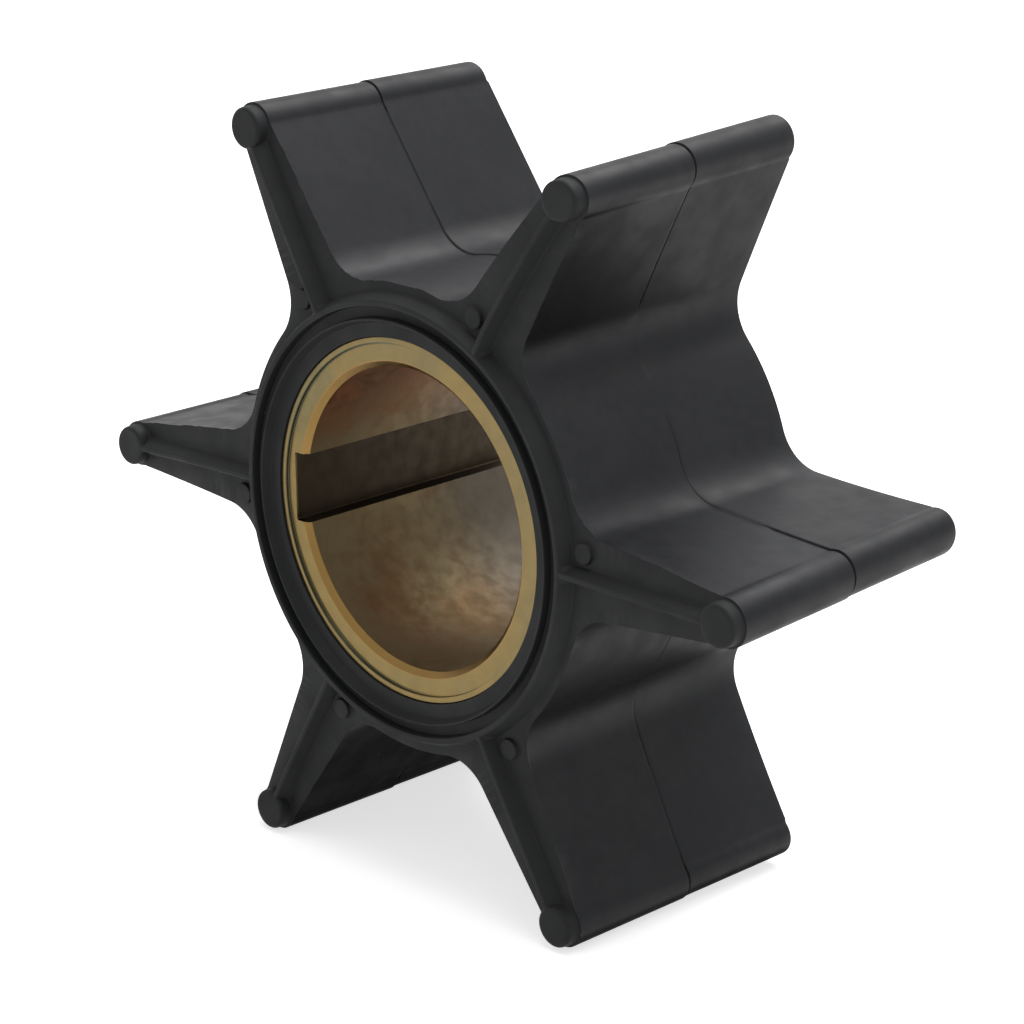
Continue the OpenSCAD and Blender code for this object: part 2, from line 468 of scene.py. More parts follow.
def rubber_skin(form):
    """The closed surface of the whole moulding: side wall, two end faces, two ring profiles and the seat."""
    skin = Skin()
    outline = Outline(form)
    rows = wall_rows(outline, form)
    skin.add_wall(rows)
    half = form.vane_width / MM / 2
    around = form.circle_points
    seats = []
    for side, edge_row, share in ((FRONT, rows[0], 0), (REAR, rows[-1], 1)):
        end = RubberEnd(form, side)
        lift = np.array([0, share * MOULD_SHIFT])
        outer = edge_row[:, [0, 2]] - lift
        inner = circle((0, 0), end.split_r, around)
        flat, faces = tiled(outer, inner, end.lines(around))
        high = half + end.heights(flat)
        raised = np.stack([flat[:, 0], side * high, flat[:, 1] + lift[1]], 1)
        skin.add(raised, faces if side == FRONT else faces[:, ::-1])

        radii = np.append(end.ring[end.ring[:, 0] < end.split_r - 1e-3, 0], end.split_r)
        drop = lift[1] * (radii - radii[0]) / (radii[-1] - radii[0])
        ring = np.stack([circle((0, 0), r, around) for r in radii])
        depth = side * (half + np.interp(radii, *end.ring.T))
        grid = np.stack([
            ring[:, :, 0],
            np.broadcast_to(depth[:, None], ring.shape[:2]),
            ring[:, :, 1] + drop[:, None],
        ], -1)
        skin.add_wall(grid if side == REAR else grid[::-1])
        seats.append(grid[0])
    skin.add_wall(np.array(seats[::-1]))
    skin.vertices = [leaned(points, form) for points in skin.vertices]
    return skin


# The brass hub

def bore_outline(form, spacing=0.35):
    """The bore with its keyway, run clockwise round the shaft axis: an arc and a slot with eased corners."""
    bore_r = form.bore_radius / MM
    half_key, floor = form.key_width / MM / 2, form.key_floor / MM
    gap = math.asin(half_key / bore_r)
    round_part, _ = arc((0, 0), bore_r, math.pi - gap, -math.pi + gap, spacing)
    slot = softened([
        round_part[-1], (-floor, -half_key), (-floor, half_key), round_part[0]
    ], form.key_corner / MM)
    steps = []
    for a, b in zip(slot, slot[1:]):
        count = max(1, round(np.linalg.norm(b - a) / spacing))
        steps.append(a + np.arange(count)[:, None] / count * (b - a))
    return np.concatenate([round_part[:-1], *steps])


def brass_skin(form):
    """The closed surface of the hub: bore with keyway, turned ends with a raised edge, and the outside."""
    skin = Skin()
    bore = bore_outline(form)
    bore_r, edge = form.bore_radius / MM, form.raised_edge / MM
    chamfer, step = form.mouth_chamfer / MM, form.edge_height / MM
    outer_r = BRASS_R - form.hidden_gap / MM
    face_y = BRASS_Y - step
    # Height over the turned face by distance from the axis, from inside the bore to past the outside
    profile = softened([
        (bore_r - 0.1, -chamfer - 0.1),
        (bore_r + chamfer, 0),
        (BRASS_R - edge, 0),
        (BRASS_R - edge + 0.02, step),
        (outer_r - 0.05, step),
        (outer_r, step - 0.05),
        (outer_r + 0.05, step - 0.1),
    ], form.edge_softness / MM)
    around = form.circle_points
    outer = circle((0, 0), outer_r, around)
    rows = [r for r in profile[:, 0] if bore_r + 0.01 < r < outer_r - 0.01]
    lines = [(circle((0, 0), r, around), True) for r in rows]
    mouths, rims = {}, {}
    for side in (FRONT, REAR):
        flat, faces = tiled(outer, bore[::-1], lines)
        height = face_y + np.interp(np.linalg.norm(flat, axis=1), *profile.T)
        raised = np.stack([flat[:, 0], side * height, flat[:, 1]], 1)
        skin.add(raised, faces if side == FRONT else faces[:, ::-1])
        for loop, place in ((bore, mouths), (outer, rims)):
            height = face_y + np.interp(np.linalg.norm(loop, axis=1), *profile.T)
            place[side] = np.stack([loop[:, 0], side * height, loop[:, 1]], 1)
    # Rows down the bore, as shares of the way from its middle to a mouth
    levels = np.array([-0.96, -0.9, -0.6, -0.3, 0, 0.3, 0.6, 0.9, 0.96]) * (face_y - chamfer)
    inner = [np.stack([bore[:, 0], np.full(len(bore), y), bore[:, 1]], 1) for y in levels]
    skin.add_wall(np.array([mouths[FRONT], *inner, mouths[REAR]]))
    skin.add_wall(np.array([rims[FRONT], rims[REAR]]))
    return skin


# Node groups and materials

class Tree:
    """Short calls that add nodes to a node tree and link them by socket name.

    The bounds given to ramp are lengths in metres, or values of a noise, which stays near 0.5.
    """

    def __init__(self, tree):
        self.tree = tree

    def node(self, kind, values=None, **settings):
        made = self.tree.nodes.new(kind)
        for key, value in settings.items():
            setattr(made, key, value)
        for socket, value in (values or {}).items():
            if isinstance(value, bpy.types.NodeSocket):
                self.tree.links.new(value, made.inputs[socket])
            else:
                made.inputs[socket].default_value = value
        return made

    def math(self, operation, *values, clamp=False):
        made = self.tree.nodes.new("ShaderNodeMath")
        made.operation = operation
        made.use_clamp = clamp
        for i, value in enumerate(values):
            if isinstance(value, bpy.types.NodeSocket):
                self.tree.links.new(value, made.inputs[i])
            else:
                made.inputs[i].default_value = value
        return made.outputs[0]

    def ramp(self, value, low, high, out_low=0.0, out_high=1.0):
        made = self.node("ShaderNodeMapRange", {
            "Value": value, "From Min": low, "From Max": high, "To Min": out_low, "To Max": out_high})
        made.interpolation_type = "SMOOTHSTEP"
        return made.outputs["Result"]

    def mix(self, share, first, second):
        made = self.node("ShaderNodeMix", data_type="RGBA")
        sockets = made.inputs["Factor"], made.inputs[6], made.inputs[7]
        for socket, value in zip(sockets, (share, first, second)):
            if isinstance(value, bpy.types.NodeSocket):
                self.tree.links.new(value, socket)
            else:
                socket.default_value = value
        return made.outputs[2]


def new_group(name, inputs, outputs):
    """An empty node group with float inputs (name, default) and outputs (name, kind), and its tree helper."""
    group = bpy.data.node_groups.new(name, "ShaderNodeTree")
    group.interface.new_socket(name="Vector", in_out="INPUT", socket_type="NodeSocketVector")
    for label, default in inputs:
        socket = group.interface.new_socket(name=label, in_out="INPUT", socket_type="NodeSocketFloat")
        socket.default_value = default
    for label, kind in outputs:
        group.interface.new_socket(name=label, in_out="OUTPUT", socket_type=kind)
    tree = Tree(group)
    return group, tree, tree.node("NodeGroupInput").outputs, tree.node("NodeGroupOutput")


def grain_group():
    """Fine and broad unevenness of a surface: Height adds two noises, Patches is the broad one alone."""
    group, tree, given, out = new_group(
        "Surface grain",
        [("Fine size", 0.0002), ("Broad size", 0.003), ("Fine share", 0.5)],
        [("Height", "NodeSocketFloat"), ("Patches", "NodeSocketFloat")])
    noises = []
    for size, detail in (("Fine size", 3), ("Broad size", 2)):
        scale = tree.math("DIVIDE", 1.0, given[size])
        noises.append(tree.node("ShaderNodeTexNoise", {
            "Vector": given["Vector"], "Scale": scale, "Detail": detail, "Roughness": 0.55}).outputs["Fac"])
    fine = tree.math("MULTIPLY", noises[0], given["Fine share"])
    rest = tree.math("SUBTRACT", 1.0, given["Fine share"])
    height = tree.math("ADD", fine, tree.math("MULTIPLY", noises[1], rest))
    group.links.new(height, out.inputs["Height"])
    group.links.new(noises[1], out.inputs["Patches"])
    return group


def speck_group():
    """Scattered specks of dust: Mask is 1 in small cells round the points of a random lattice."""
    group, tree, given, out = new_group(
        "Dust specks", [("Spacing", 0.002), ("Speck size", 0.00006), ("Share", 0.3)],
        [("Mask", "NodeSocketFloat")])
    scale = tree.math("DIVIDE", 1.0, given["Spacing"])
    cells = tree.node("ShaderNodeTexVoronoi", {"Vector": given["Vector"], "Scale": scale, "Randomness": 1.0})
    far = tree.math("MULTIPLY", cells.outputs["Distance"], given["Spacing"])
    near = tree.math("LESS_THAN", far, given["Speck size"])
    pick = tree.node("ShaderNodeSeparateColor", {"Color": cells.outputs["Color"]}).outputs["Red"]
    chosen = tree.math("LESS_THAN", pick, given["Share"])
    group.links.new(tree.math("MULTIPLY", near, chosen), out.inputs["Mask"])
    return group


def new_material(name):
    """A material with a shader on its output, its tree helper, that shader and the Object coordinates."""
    material = bpy.data.materials.new(name)
    material.use_nodes = True
    material.node_tree.nodes.clear()
    tree = Tree(material.node_tree)
    shader = tree.node("ShaderNodeBsdfPrincipled")
    out = tree.node("ShaderNodeOutputMaterial")
    material.node_tree.links.new(shader.outputs[0], out.inputs["Surface"])
    place = tree.node("ShaderNodeTexCoord").outputs["Object"]
    return material, tree, shader, place


def placed_group(tree, group, place, **values):
    """A node group in a material, reading the given place, with its inputs set by name."""
    made = tree.node("ShaderNodeGroup", node_tree=group)
    tree.tree.links.new(place, made.inputs["Vector"])
    for name, value in values.items():
        made.inputs[name.replace("_", " ")].default_value = value
    return made.outputs


def link(tree, value, socket):
    tree.tree.links.new(value, socket)


def rubber_material(finish, form, grain, specks):
    """Moulded black rubber: satin flanks, matt end faces, fine grain, dust and a dark parting line.

    A point counts as on an end face where its |y| is at least half the vane width. Surfaces that face down
    get painted shade, a darker colour and less sheen, and the undersides near the floor get the darkest
    painted shade.
    """
    material, tree, shader, place = new_material("moulded rubber")
    surface = placed_group(tree, grain, place, Fine_size=0.00016, Broad_size=0.0026, Fine_share=0.35)
    wide = placed_group(tree, grain, place, Fine_size=0.001, Broad_size=0.009, Fine_share=0.4)
    dust = placed_group(tree, specks, place, Spacing=0.0021, Speck_size=0.00007, Share=0.22)
    apart = tree.node("ShaderNodeSeparateXYZ", {"Vector": place}).outputs
    depth = tree.math("ABSOLUTE", apart["Y"])
    line = tree.ramp(depth, finish.line_width, finish.line_width * 2, 1.0, 0.0)
    flat = tree.node("ShaderNodeCombineXYZ", {"X": apart["X"], "Z": apart["Z"]}).outputs[0]
    radius = tree.node("ShaderNodeVectorMath", {0: flat}, operation="LENGTH").outputs["Value"]
    on_bead = tree.ramp(radius, (BEAD_X - BEAD_R) * MM, (BEAD_X - BEAD_R / 2) * MM)
    line = tree.math("MULTIPLY", line, tree.math(
        "MAXIMUM", on_bead, tree.ramp(wide["Patches"], 0.5, 0.6, 0.0, 0.5)))
    half = form.vane_width / 2
    end = tree.ramp(depth, half - 0.05 * MM, half, 0.0, 1.0)
    facing = tree.node("ShaderNodeSeparateXYZ", {
        "Vector": tree.node("ShaderNodeNewGeometry").outputs["Normal"]}).outputs["Z"]
    # Painted shade: surfaces that face down, away from the end faces, are darkened
    painted_underside_shade = tree.math("MULTIPLY", tree.ramp(facing, -0.6, 0.0, 1.0, 0.0), tree.math("SUBTRACT", 1.0, end))
    # Painted shade: the undersides low on the part, near the floor, get the darkest colour
    low = tree.math("MULTIPLY", painted_underside_shade, tree.ramp(apart["Z"], -22 * MM, -10 * MM, 1.0, 0.0))
    bloom = tree.ramp(wide["Height"], 0.38, 0.66)
    colour = tree.mix(bloom, (*finish.deep_colour, 1), (*finish.bloom_colour, 1))
    colour = tree.mix(end, colour, (*finish.end_colour, 1))
    # Painted shade over the undersides, darkest low down near the floor
    colour = tree.mix(painted_underside_shade, colour, (*finish.painted_underside_shade_colour, 1))
    colour = tree.mix(low, colour, (*finish.painted_low_shade_colour, 1))
    colour = tree.mix(dust["Mask"], colour, (*finish.dust_colour, 1))
    colour = tree.mix(line, colour, (*finish.line_colour, 1))
    link(tree, colour, shader.inputs["Base Color"])
    rough = tree.ramp(surface["Patches"], 0.3, 0.7, finish.roughness - 0.05, finish.roughness + 0.06)
    rough = tree.math("ADD", rough, tree.math("MULTIPLY", line, 0.3))
    duller = tree.math("MULTIPLY", end, finish.end_roughness - finish.roughness)
    rough = tree.math("ADD", rough, duller, clamp=True)
    link(tree, rough, shader.inputs["Roughness"])
    gloss = tree.ramp(end, 0.0, 1.0, finish.gloss, finish.end_gloss)
    # The painted shade on the undersides also takes away sheen
    gloss = tree.math("MULTIPLY", gloss, tree.ramp(painted_underside_shade, 0.0, 1.0, 1.0, finish.under_gloss))
    gloss = tree.math("MULTIPLY", gloss, tree.ramp(low, 0.0, 1.0, 1.0, finish.low_gloss))
    link(tree, gloss, shader.inputs["Specular IOR Level"])
    shader.inputs["IOR"].default_value = finish.ior
    bump = tree.node("ShaderNodeBump", {
        "Height": surface["Height"], "Distance": finish.grain_depth, "Strength": 1.0})
    link(tree, bump.outputs["Normal"], shader.inputs["Normal"])
    return material


def brass_material(finish, form, grain, specks):
    """Turned brass: dull and pale on the end faces, brown down the bore, and almost black in the keyway,
    where that dark colour is painted shade.

    A point counts as in the bore where |y| is below the mouths, and as in the keyway where it also lies
    farther from the axis than the bore's radius. Fine rings follow the radius and, in the bore, the y axis.
    """
    material, tree, shader, place = new_material("turned brass")
    surface = placed_group(tree, grain, place, Fine_size=0.00012, Broad_size=0.0012, Fine_share=0.8)
    stains = placed_group(tree, grain, place, Fine_size=0.0012, Broad_size=0.007, Fine_share=0.25)
    dust = placed_group(tree, specks, place, Spacing=0.0009, Speck_size=0.00007, Share=0.3)
    apart = tree.node("ShaderNodeSeparateXYZ", {"Vector": place}).outputs
    flat = tree.node("ShaderNodeCombineXYZ", {"X": apart["X"], "Z": apart["Z"]}).outputs[0]
    radius = tree.node("ShaderNodeVectorMath", {0: flat}, operation="LENGTH").outputs["Value"]
    depth = tree.math("ABSOLUTE", apart["Y"])
    face_y = BRASS_Y * MM - form.edge_height
    deep = tree.ramp(depth, face_y - form.mouth_chamfer - 0.1 * MM, face_y - form.mouth_chamfer, 1.0, 0.0)
    below = tree.ramp(depth, face_y - 0.2 * MM, face_y - 0.1 * MM, 1.0, 0.0)
    # Painted shade: the keyway is coloured almost black for the shade deep inside it
    slot = tree.math("MULTIPLY", below, tree.ramp(radius, form.bore_radius, form.bore_radius + 0.12 * MM))
    across = tree.math("ABSOLUTE", apart["Z"])
    slot = tree.math("MULTIPLY", slot, tree.math("LESS_THAN", across, form.key_width / 2 + 0.02 * MM))
    slot = tree.math("MULTIPLY", slot, tree.math("LESS_THAN", apart["X"], 0.0))
    stain = tree.ramp(stains["Height"], 0.42, 0.62)
    # Painted reflection: the upper side of the bore takes a redder, brighter colour for the brass it
    # reflects, varied by the stain patches
    high = tree.ramp(apart["Z"], 2 * MM, 9 * MM)
    bore = tree.mix(stain, (*finish.bore_colour, 1), (*finish.stain_colour, 1))
    bore = tree.mix(tree.ramp(apart["Y"], -2 * MM, 7 * MM), bore, (*finish.grey_colour, 1))
    painted_red_reflection = tree.math("MULTIPLY", high, tree.ramp(stain, 0.0, 1.0, 0.65, 1.0))
    bore = tree.mix(painted_red_reflection, bore, (*finish.red_reflection_colour, 1))
    patches = tree.ramp(stains["Patches"], 0.4, 0.7)
    face = tree.mix(patches, (*finish.face_colour, 1), (*finish.dull_colour, 1))
    face = tree.mix(dust["Mask"], face, (*finish.speck_colour, 1))
    mouth_r = form.bore_radius + form.mouth_chamfer
    mouth = tree.ramp(radius, mouth_r, mouth_r + 0.15 * MM)
    face = tree.mix(mouth, (*finish.mouth_colour, 1), face)
    step_r = BRASS_R * MM - form.raised_edge
    from_step = tree.math("ABSOLUTE", tree.math("SUBTRACT", radius, step_r))
    # Painted shadow along the foot of the raised edge, fading out to the right
    step = tree.math("MULTIPLY", tree.ramp(from_step, 0.04 * MM, 0.12 * MM, 0.85, 0.0),
                     tree.ramp(apart["X"], -3 * MM, 3.5 * MM, 1.0, 0.0))
    face = tree.mix(step, face, (*finish.step_shadow_colour, 1))
    colour = tree.mix(deep, face, bore)
    # Painted shade in the keyway
    colour = tree.mix(slot, colour, (*finish.keyway_shade_colour, 1))
    link(tree, colour, shader.inputs["Base Color"])
    shader.inputs["Metallic"].default_value = 1.0
    rough = tree.ramp(surface["Patches"], 0.3, 0.7, finish.roughness - 0.05, finish.roughness + 0.07)
    rough = tree.math(
        "ADD", rough, tree.math("MULTIPLY", deep, finish.bore_roughness - finish.roughness), clamp=True)
    link(tree, rough, shader.inputs["Roughness"])
    pitch = 2 * math.pi / finish.ring_pitch
    rings = tree.math("SINE", tree.math("MULTIPLY", tree.math("ADD", radius, apart["Y"]), pitch))
    height = tree.math("ADD", tree.math("MULTIPLY", rings, 0.25), surface["Height"])
    bump = tree.node("ShaderNodeBump", {"Height": height, "Distance": finish.ring_depth, "Strength": 1.0})
    link(tree, bump.outputs["Normal"], shader.inputs["Normal"])
    return material


# Settings

def length(name, description, value, low=0.0, high=1.0):
    """A length property given in millimetres and stored in metres."""
    return bpy.props.FloatProperty(
        name=name, description=description, default=value * MM, min=low * MM, max=high * 1000 * MM,
        unit="LENGTH", precision=5)


def share(name, description, value):
    """A property from 0 to 1."""
    return bpy.props.FloatProperty(name=name, description=description, default=value, min=0, max=1)


def tint(name, description, value):
    """A colour property."""
    return bpy.props.FloatVectorProperty(
        name=name, description=description, default=value, size=3, min=0, max=1, subtype="COLOR")


def angle(name, description, degrees):
    """An angle property given in degrees and stored in radians."""
    return bpy.props.FloatProperty(
        name=name, description=description, default=math.radians(degrees), unit="ROTATION")


def leans(name, *degrees):
    """The leans of the soft vanes, given in degrees and stored in radians."""
    return bpy.props.FloatVectorProperty(
        name=name, description="Of each soft vane, counter-clockwise from the +X vane",
        size=VANES, default=[math.radians(a) for a in degrees], unit="ROTATION")


class RubberForm(bpy.types.PropertyGroup):
    """Sizes of the rubber moulding."""

    vane_width: length("Vane width", "Between the flat end faces of the vanes", 21.6)
    hub_radius: length("Hub radius", "Of the rubber hub between the vanes", 17.15)
    tip_thickness: length("Tip thickness", "Of a vane, carried on to the middle of its bead", 3.3)
    flank_taper: angle("Flank taper", "Slope of each flank to the vane's middle", 6)
    neck_radius: length("Neck radius", "Of the hollow between a flank and its bead", 1.0)
    root_radius: length("Root radius", "Of the hollow between a flank and the hub", 3.8)
    bead_end_radius: length("Bead end radius", "Of the rounded rear end of a bead", 0.3)
    crest_height: length("Crest height", "Of rims, ribs and studs over the end faces", 1.0)
    rim_radius: length("Rim radius", "Inside of the sealing rim", 15.6)
    rim_crest: length("Rim crest", "Width of the rim's flat crest", 0.4)
    rim_slope: length("Rim slope", "Run-out of the rim's outer side", 0.5)
    groove_depth: length("Groove depth", "Of the ring groove below the crest", 0.7)
    groove_width: length("Groove width", "Of the ring groove", 0.9)
    lip_drop: length("Lip drop", "Of the inner lip below the crest", 0.02)
    lip_slope: length("Lip slope", "Run-out of the inner lip toward the brass", 0.3)
    ledge_drop: length("Ledge drop", "Of the flat ledge round the brass below the crest", 0.7)
    rib_foot: length("Rib foot", "Width of a rib at its foot", 1.3)
    rib_crest: length("Rib crest", "Width of a rib's flat crest", 0.36)
    stud_radius: length("Stud radius", "Of the stud at a vane's tip", 1.55)
    stud_softness: length("Stud softness", "Rounding of a stud's edge", 0.3)
    pip_radius: length("Pip radius", "Of the pip at a vane's root", 0.75)
    pip_height: length("Pip height", "Of the pip over the end face", 0.3)
    pip_along: length("Pip distance", "From the shaft axis along the vane", 17.6)
    pip_across: length("Pip side step", "From the vane's middle", 1.7)
    edge_softness: length("Edge softness", "Rounding of the moulded edges", 0.08)
    wall_draft: length("Wall draft", "Run-out of the steep walls on the end faces", 0.04)
    flash_height: length("Flash height", "Greatest height of the ragged fin along the front edge", 0.12)
    parting_depth: length("Parting line depth", "On the beads; less of it on the flanks", 0.08)
    parting_width: length("Parting line width", "Across the fine groove at mid width", 0.18)
    point_spacing: length("Point spacing", "Along the outline", 0.28)
    circle_points: bpy.props.IntProperty(
        name="Circle points", description="Points round the rings of the end faces", default=300, min=60)
    lean_front: leans("Lean at the front", -0.2, -2.75, 0, 1.0, 0, 0.4)
    lean_rear: leans("Lean at the rear", 2.0, -0.35, 0, 1.0, 0, 2.0)


class BrassForm(bpy.types.PropertyGroup):
    """Sizes of the brass hub."""

    bore_radius: length("Bore radius", "Of the shaft bore", 11.1)
    mouth_chamfer: length("Mouth chamfer", "At each mouth of the bore", 0.4)
    raised_edge: length("Raised edge", "Width of the thin edge against the rubber", 0.5)
    edge_height: length("Edge height", "Of the thin edge over the turned face", 0.25)
    key_width: length("Keyway width", "Between the keyway's walls", 5.2)
    key_floor: length("Keyway floor", "Distance from the shaft axis", 12.0)
    key_corner: length("Keyway corner", "Rounding in the keyway's corners", 0.15)
    edge_softness: length("Edge softness", "Rounding of the turned edges", 0.05)
    hidden_gap: length("Hidden gap", "Between the brass and the rubber seat, out of sight", 0.02)
    circle_points: bpy.props.IntProperty(
        name="Circle points", description="Points round the turned faces", default=240, min=60)


class RubberFinish(bpy.types.PropertyGroup):
    """Look of the rubber."""

    deep_colour: tint("Deep colour", "Of the clean rubber", (0.0102, 0.0106, 0.0124))
    bloom_colour: tint("Bloom colour", "Of the greyer patches", (0.0158, 0.0162, 0.0182))
    end_colour: tint("End colour", "Of the end faces", (0.0190, 0.0196, 0.0206))
    # Painted shade: colour of surfaces that face down
    painted_underside_shade_colour: tint("Underside colour", "Of surfaces that face down", (0.0055, 0.0056, 0.0060))
    # Painted shade: colour of the undersides near the floor
    painted_low_shade_colour: tint("Low colour", "Of the undersides near the floor", (0.0022, 0.0022, 0.0023))
    dust_colour: tint("Dust colour", "Of the specks", (0.07, 0.07, 0.07))
    line_colour: tint("Line colour", "Of the parting line", (0.003, 0.003, 0.003))
    roughness: share("Roughness", "Of the flanks", 0.44)
    end_roughness: share("End roughness", "Of the end faces", 0.6)
    gloss: share("Gloss", "Strength of the sheen on the flanks", 0.5)
    end_gloss: share("End gloss", "Strength of the sheen on the end faces", 0.45)
    under_gloss: share("Underside gloss", "Share of the sheen left on surfaces that face down", 0.55)
    low_gloss: share("Low gloss", "Share of that sheen left on the undersides near the floor", 0.1)
    ior: bpy.props.FloatProperty(name="IOR", description="Index of refraction", default=1.27, min=1, max=2)
    grain_depth: length("Grain depth", "Of the moulded surface", 0.012)
    line_width: length("Parting line half width", "Of the dark line at mid width", 0.05)


class BrassFinish(bpy.types.PropertyGroup):
    """Look of the brass."""

    face_colour: tint("Face colour", "Of the turned end faces", (0.189, 0.135, 0.053))
    dull_colour: tint("Dull colour", "Of the greyer patches on the end faces", (0.152, 0.122, 0.057))
    mouth_colour: tint("Mouth colour", "Of the chamfer at the mouth of the bore", (0.218, 0.133, 0.044))
    # Painted shadow: colour along the foot of the raised edge
    step_shadow_colour: tint("Step colour", "Of the stain along the raised edge", (0.060, 0.066, 0.046))
    speck_colour: tint("Speck colour", "Of small stains on the end faces", (0.13, 0.09, 0.04))
    bore_colour: tint("Bore colour", "Of the bore", (0.17, 0.13, 0.070))
    stain_colour: tint("Stain colour", "Of the browner patches in the bore", (0.165, 0.104, 0.050))
    grey_colour: tint("Grey colour", "Of the bore toward its far end", (0.098, 0.083, 0.064))
    # Painted reflection: redder colour on the upper side of the bore, varied by the stain patches
    red_reflection_colour: tint("Red colour", "Of the coppery patches high in the bore", (0.26, 0.105, 0.045))
    # Painted shade: near black colour for the shade in the keyway
    keyway_shade_colour: tint("Keyway colour", "Of the dark skin in the keyway", (0.045, 0.034, 0.022))
    roughness: share("Roughness", "Of the end faces", 0.34)
    bore_roughness: share("Bore roughness", "Of the bore and the keyway", 0.56)
    ring_pitch: length("Ring pitch", "Between the marks of the turning tool", 0.16)
    ring_depth: length("Ring depth", "Of the tool marks and the grain", 0.004)


class StageSettings(bpy.types.PropertyGroup):
    """Floor, lamps and camera."""

    azimuth: angle("Azimuth", "Of the camera round Z, from -Y toward +X", 45.684)
    elevation: angle("Elevation", "Of the camera above the horizontal", 17.445)
    roll: angle("Roll", "Of the camera about its view axis", -0.681)
    distance: length("Distance", "From the origin to the camera", 235.763)
    aim: bpy.props.FloatVectorProperty(
        name="Aim", description="Point in the middle of the picture", size=3,
        default=(0.305 * MM, -0.688 * MM, -1.609 * MM), subtype="TRANSLATION", unit="LENGTH")
    mid_offset: length("Mid-plane offset", "Of the camera toward -Y", 0.277)
    lens: bpy.props.FloatProperty(
        name="Lens", description="Focal length in mm on a 36 mm sensor", default=113.99)
    surround: share("Surround", "Light of the white surround on the object", 0.4)
    floor_colour: tint("Floor colour", "Of the pale floor", (0.8, 0.8, 0.8))
    floor_glow: share("Floor glow", "What camera and gloss see on top of the floor's own colour", 0.68)
    floor_reach: bpy.props.FloatProperty(
        name="Floor reach", description="From the middle of the floor to its sides", default=3, unit="LENGTH")
    high_lamp: bpy.props.FloatProperty(
        name="High lamp", description="Power of the soft lamp above", default=4.5, unit="POWER")
    rear_lamp: bpy.props.FloatProperty(
        name="Rear lamp", description="Power of the soft lamp behind", default=1, unit="POWER")


# Operators

def mark(piece, material, node):
    """The piece takes its material and stands for its CAD node, on the one body."""
    piece.data.materials.append(material)
    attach(piece, "root")
    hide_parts(node)


class IMPELLER_OT_rubber(bpy.types.Operator):
    """Make the rubber moulding with its ribs, studs, rims, flash and parting line"""

    bl_idname = "impeller.rubber"
    bl_label = "Rubber moulding"

    def execute(self, context):
        scene = context.scene
        piece = rubber_skin(scene.impeller_rubber).piece("rubber_moulding", math.radians(50))
        material = rubber_material(
            scene.impeller_rubber_finish, scene.impeller_rubber, grain_group(), speck_group())
        mark(piece, material, "rubber_vanes")
        return {"FINISHED"}


class IMPELLER_OT_brass(bpy.types.Operator):
    """Make the turned brass hub with its keyway"""

    bl_idname = "impeller.brass"
    bl_label = "Brass hub"

    def execute(self, context):
        scene = context.scene
        piece = brass_skin(scene.impeller_brass).piece("turned_hub", math.radians(35))
        groups = bpy.data.node_groups
        material = brass_material(
            scene.impeller_brass_finish, scene.impeller_brass, groups["Surface grain"], groups["Dust specks"])
        mark(piece, material, "brass_hub")
        return {"FINISHED"}


def stage_material(name, colour, boost):
    """Plain matt colour that camera and glossy rays see a little brighter, so that the shadow on it stays."""
    material = bpy.data.materials.new(name)
    material.use_nodes = True
    material.node_tree.nodes.clear()
    tree = Tree(material.node_tree)
    path = tree.node("ShaderNodeLightPath").outputs
    seen = tree.math("MAXIMUM", path["Is Camera Ray"], tree.math(
        "MAXIMUM", path["Is Glossy Ray"], path["Is Transmission Ray"]))
    matt = tree.node("ShaderNodeBsdfDiffuse", {"Color": (*colour, 1)})
    strength = tree.math("MULTIPLY", seen, boost)
    glow = tree.node("ShaderNodeEmission", {"Color": (1, 1, 1, 1), "Strength": strength})
    both = tree.node("ShaderNodeAddShader")
    link(tree, matt.outputs[0], both.inputs[0])
    link(tree, glow.outputs[0], both.inputs[1])
    link(tree, both.outputs[0], tree.node("ShaderNodeOutputMaterial").inputs["Surface"])
    return material


def lamp(name, place, target, size, power):
    """A square soft lamp at place that faces target."""
    data = bpy.data.lights.new(name, "AREA")
    data.shape = "SQUARE"
    data.size = size
    data.energy = power
    obj = bpy.data.objects.new(name, data)
    obj.location = place
    obj.rotation_mode = "QUATERNION"
    obj.rotation_quaternion = (Vector(target) - Vector(place)).to_track_quat("-Z", "Y")
    bpy.context.scene.collection.objects.link(obj)


def world_light(scene, strength):
    """A white surround: strength for light on the object, and 1 for what the camera and gloss see."""
    world = bpy.data.worlds.new("white surround")
    scene.world = world
    world.use_nodes = True
    world.node_tree.nodes.clear()
    tree = Tree(world.node_tree)
    path = tree.node("ShaderNodeLightPath").outputs
    seen = tree.math("MAXIMUM", path["Is Camera Ray"], tree.math(
        "MAXIMUM", path["Is Glossy Ray"], path["Is Transmission Ray"]))
    level = tree.node("ShaderNodeMapRange", {"Value": seen, "To Min": strength, "To Max": 1.0}).outputs[0]
    glow = tree.node("ShaderNodeBackground", {"Color": (1, 1, 1, 1), "Strength": level})
    link(tree, glow.outputs[0], tree.node("ShaderNodeOutputWorld").inputs["Surface"])


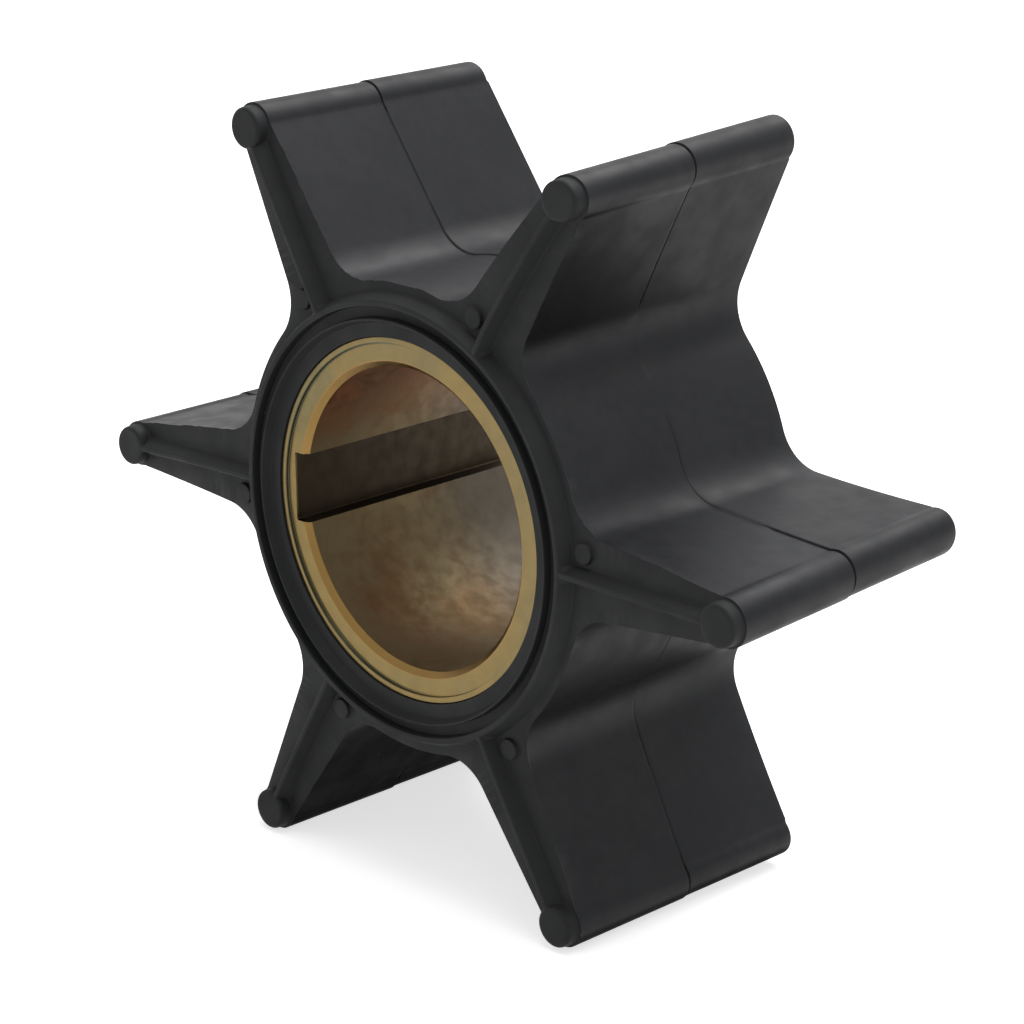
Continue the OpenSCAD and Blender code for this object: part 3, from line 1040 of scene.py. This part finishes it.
class IMPELLER_OT_stage(bpy.types.Operator):
    """Make the floor, the lamps and the camera"""

    bl_idname = "impeller.stage"
    bl_label = "Floor, lamps and camera"

    def execute(self, context):
        scene = context.scene
        stage = scene.impeller_stage
        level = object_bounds()[0].z
        far = stage.floor_reach
        corners = [(-far, -far, level), (far, -far, level), (far, far, level), (-far, far, level)]
        mesh = bpy.data.meshes.new("floor")
        mesh.from_pydata(corners, [], [(0, 1, 2, 3)])
        floor = bpy.data.objects.new("floor", mesh)
        scene.collection.objects.link(floor)
        floor.data.materials.append(stage_material("pale floor", stage.floor_colour, stage.floor_glow))
        floor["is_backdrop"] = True

        world_light(scene, stage.surround)
        lamp("high soft lamp", (0.12, 0.14, 0.62), (0, 0, 0), 0.6, stage.high_lamp)
        lamp("rear soft lamp", (-0.16, 0.46, 0.54), (0, 0, 0), 0.3, stage.rear_lamp)

        a, e = stage.azimuth, stage.elevation
        back = Vector((math.sin(a) * math.cos(e), -math.cos(a) * math.cos(e), math.sin(e)))
        camera = bpy.data.objects.new("camera", bpy.data.cameras.new("camera"))
        camera.location = back * stage.distance - Vector((0, stage.mid_offset, 0))
        way = Vector(stage.aim) - camera.location
        camera.rotation_mode = "QUATERNION"
        camera.rotation_quaternion = way.to_track_quat("-Z", "Y") @ Quaternion((0, 0, 1), stage.roll)
        camera.data.lens = stage.lens
        camera.data.sensor_width = 36
        camera.data.clip_start = 0.01
        scene.collection.objects.link(camera)
        scene.camera = camera
        scene.view_settings.view_transform = "Standard"
        return {"FINISHED"}


class IMPELLER_PT_parts(bpy.types.Panel):
    """Buttons that make each part"""

    bl_idname = "IMPELLER_PT_parts"
    bl_label = "Impeller"
    bl_space_type = "VIEW_3D"
    bl_region_type = "UI"
    bl_category = "Impeller"

    def draw(self, context):
        for operator in OPERATORS:
            self.layout.operator(operator.bl_idname)


OPERATORS = (IMPELLER_OT_rubber, IMPELLER_OT_brass, IMPELLER_OT_stage)
SETTINGS = {
    "impeller_rubber": RubberForm,
    "impeller_brass": BrassForm,
    "impeller_rubber_finish": RubberFinish,
    "impeller_brass_finish": BrassFinish,
    "impeller_stage": StageSettings,
}


def register():
    for made in (*SETTINGS.values(), *OPERATORS, IMPELLER_PT_parts):
        bpy.utils.register_class(made)
    for name, group in SETTINGS.items():
        setattr(bpy.types.Scene, name, bpy.props.PointerProperty(type=group))


def unregister():
    for name in SETTINGS:
        delattr(bpy.types.Scene, name)
    for made in (IMPELLER_PT_parts, *OPERATORS[::-1], *reversed(SETTINGS.values())):
        bpy.utils.unregister_class(made)


def main():
    register()
    bpy.ops.impeller.rubber()
    bpy.ops.impeller.brass()
    bpy.ops.impeller.stage()


if __name__ == "__main__":
    main()
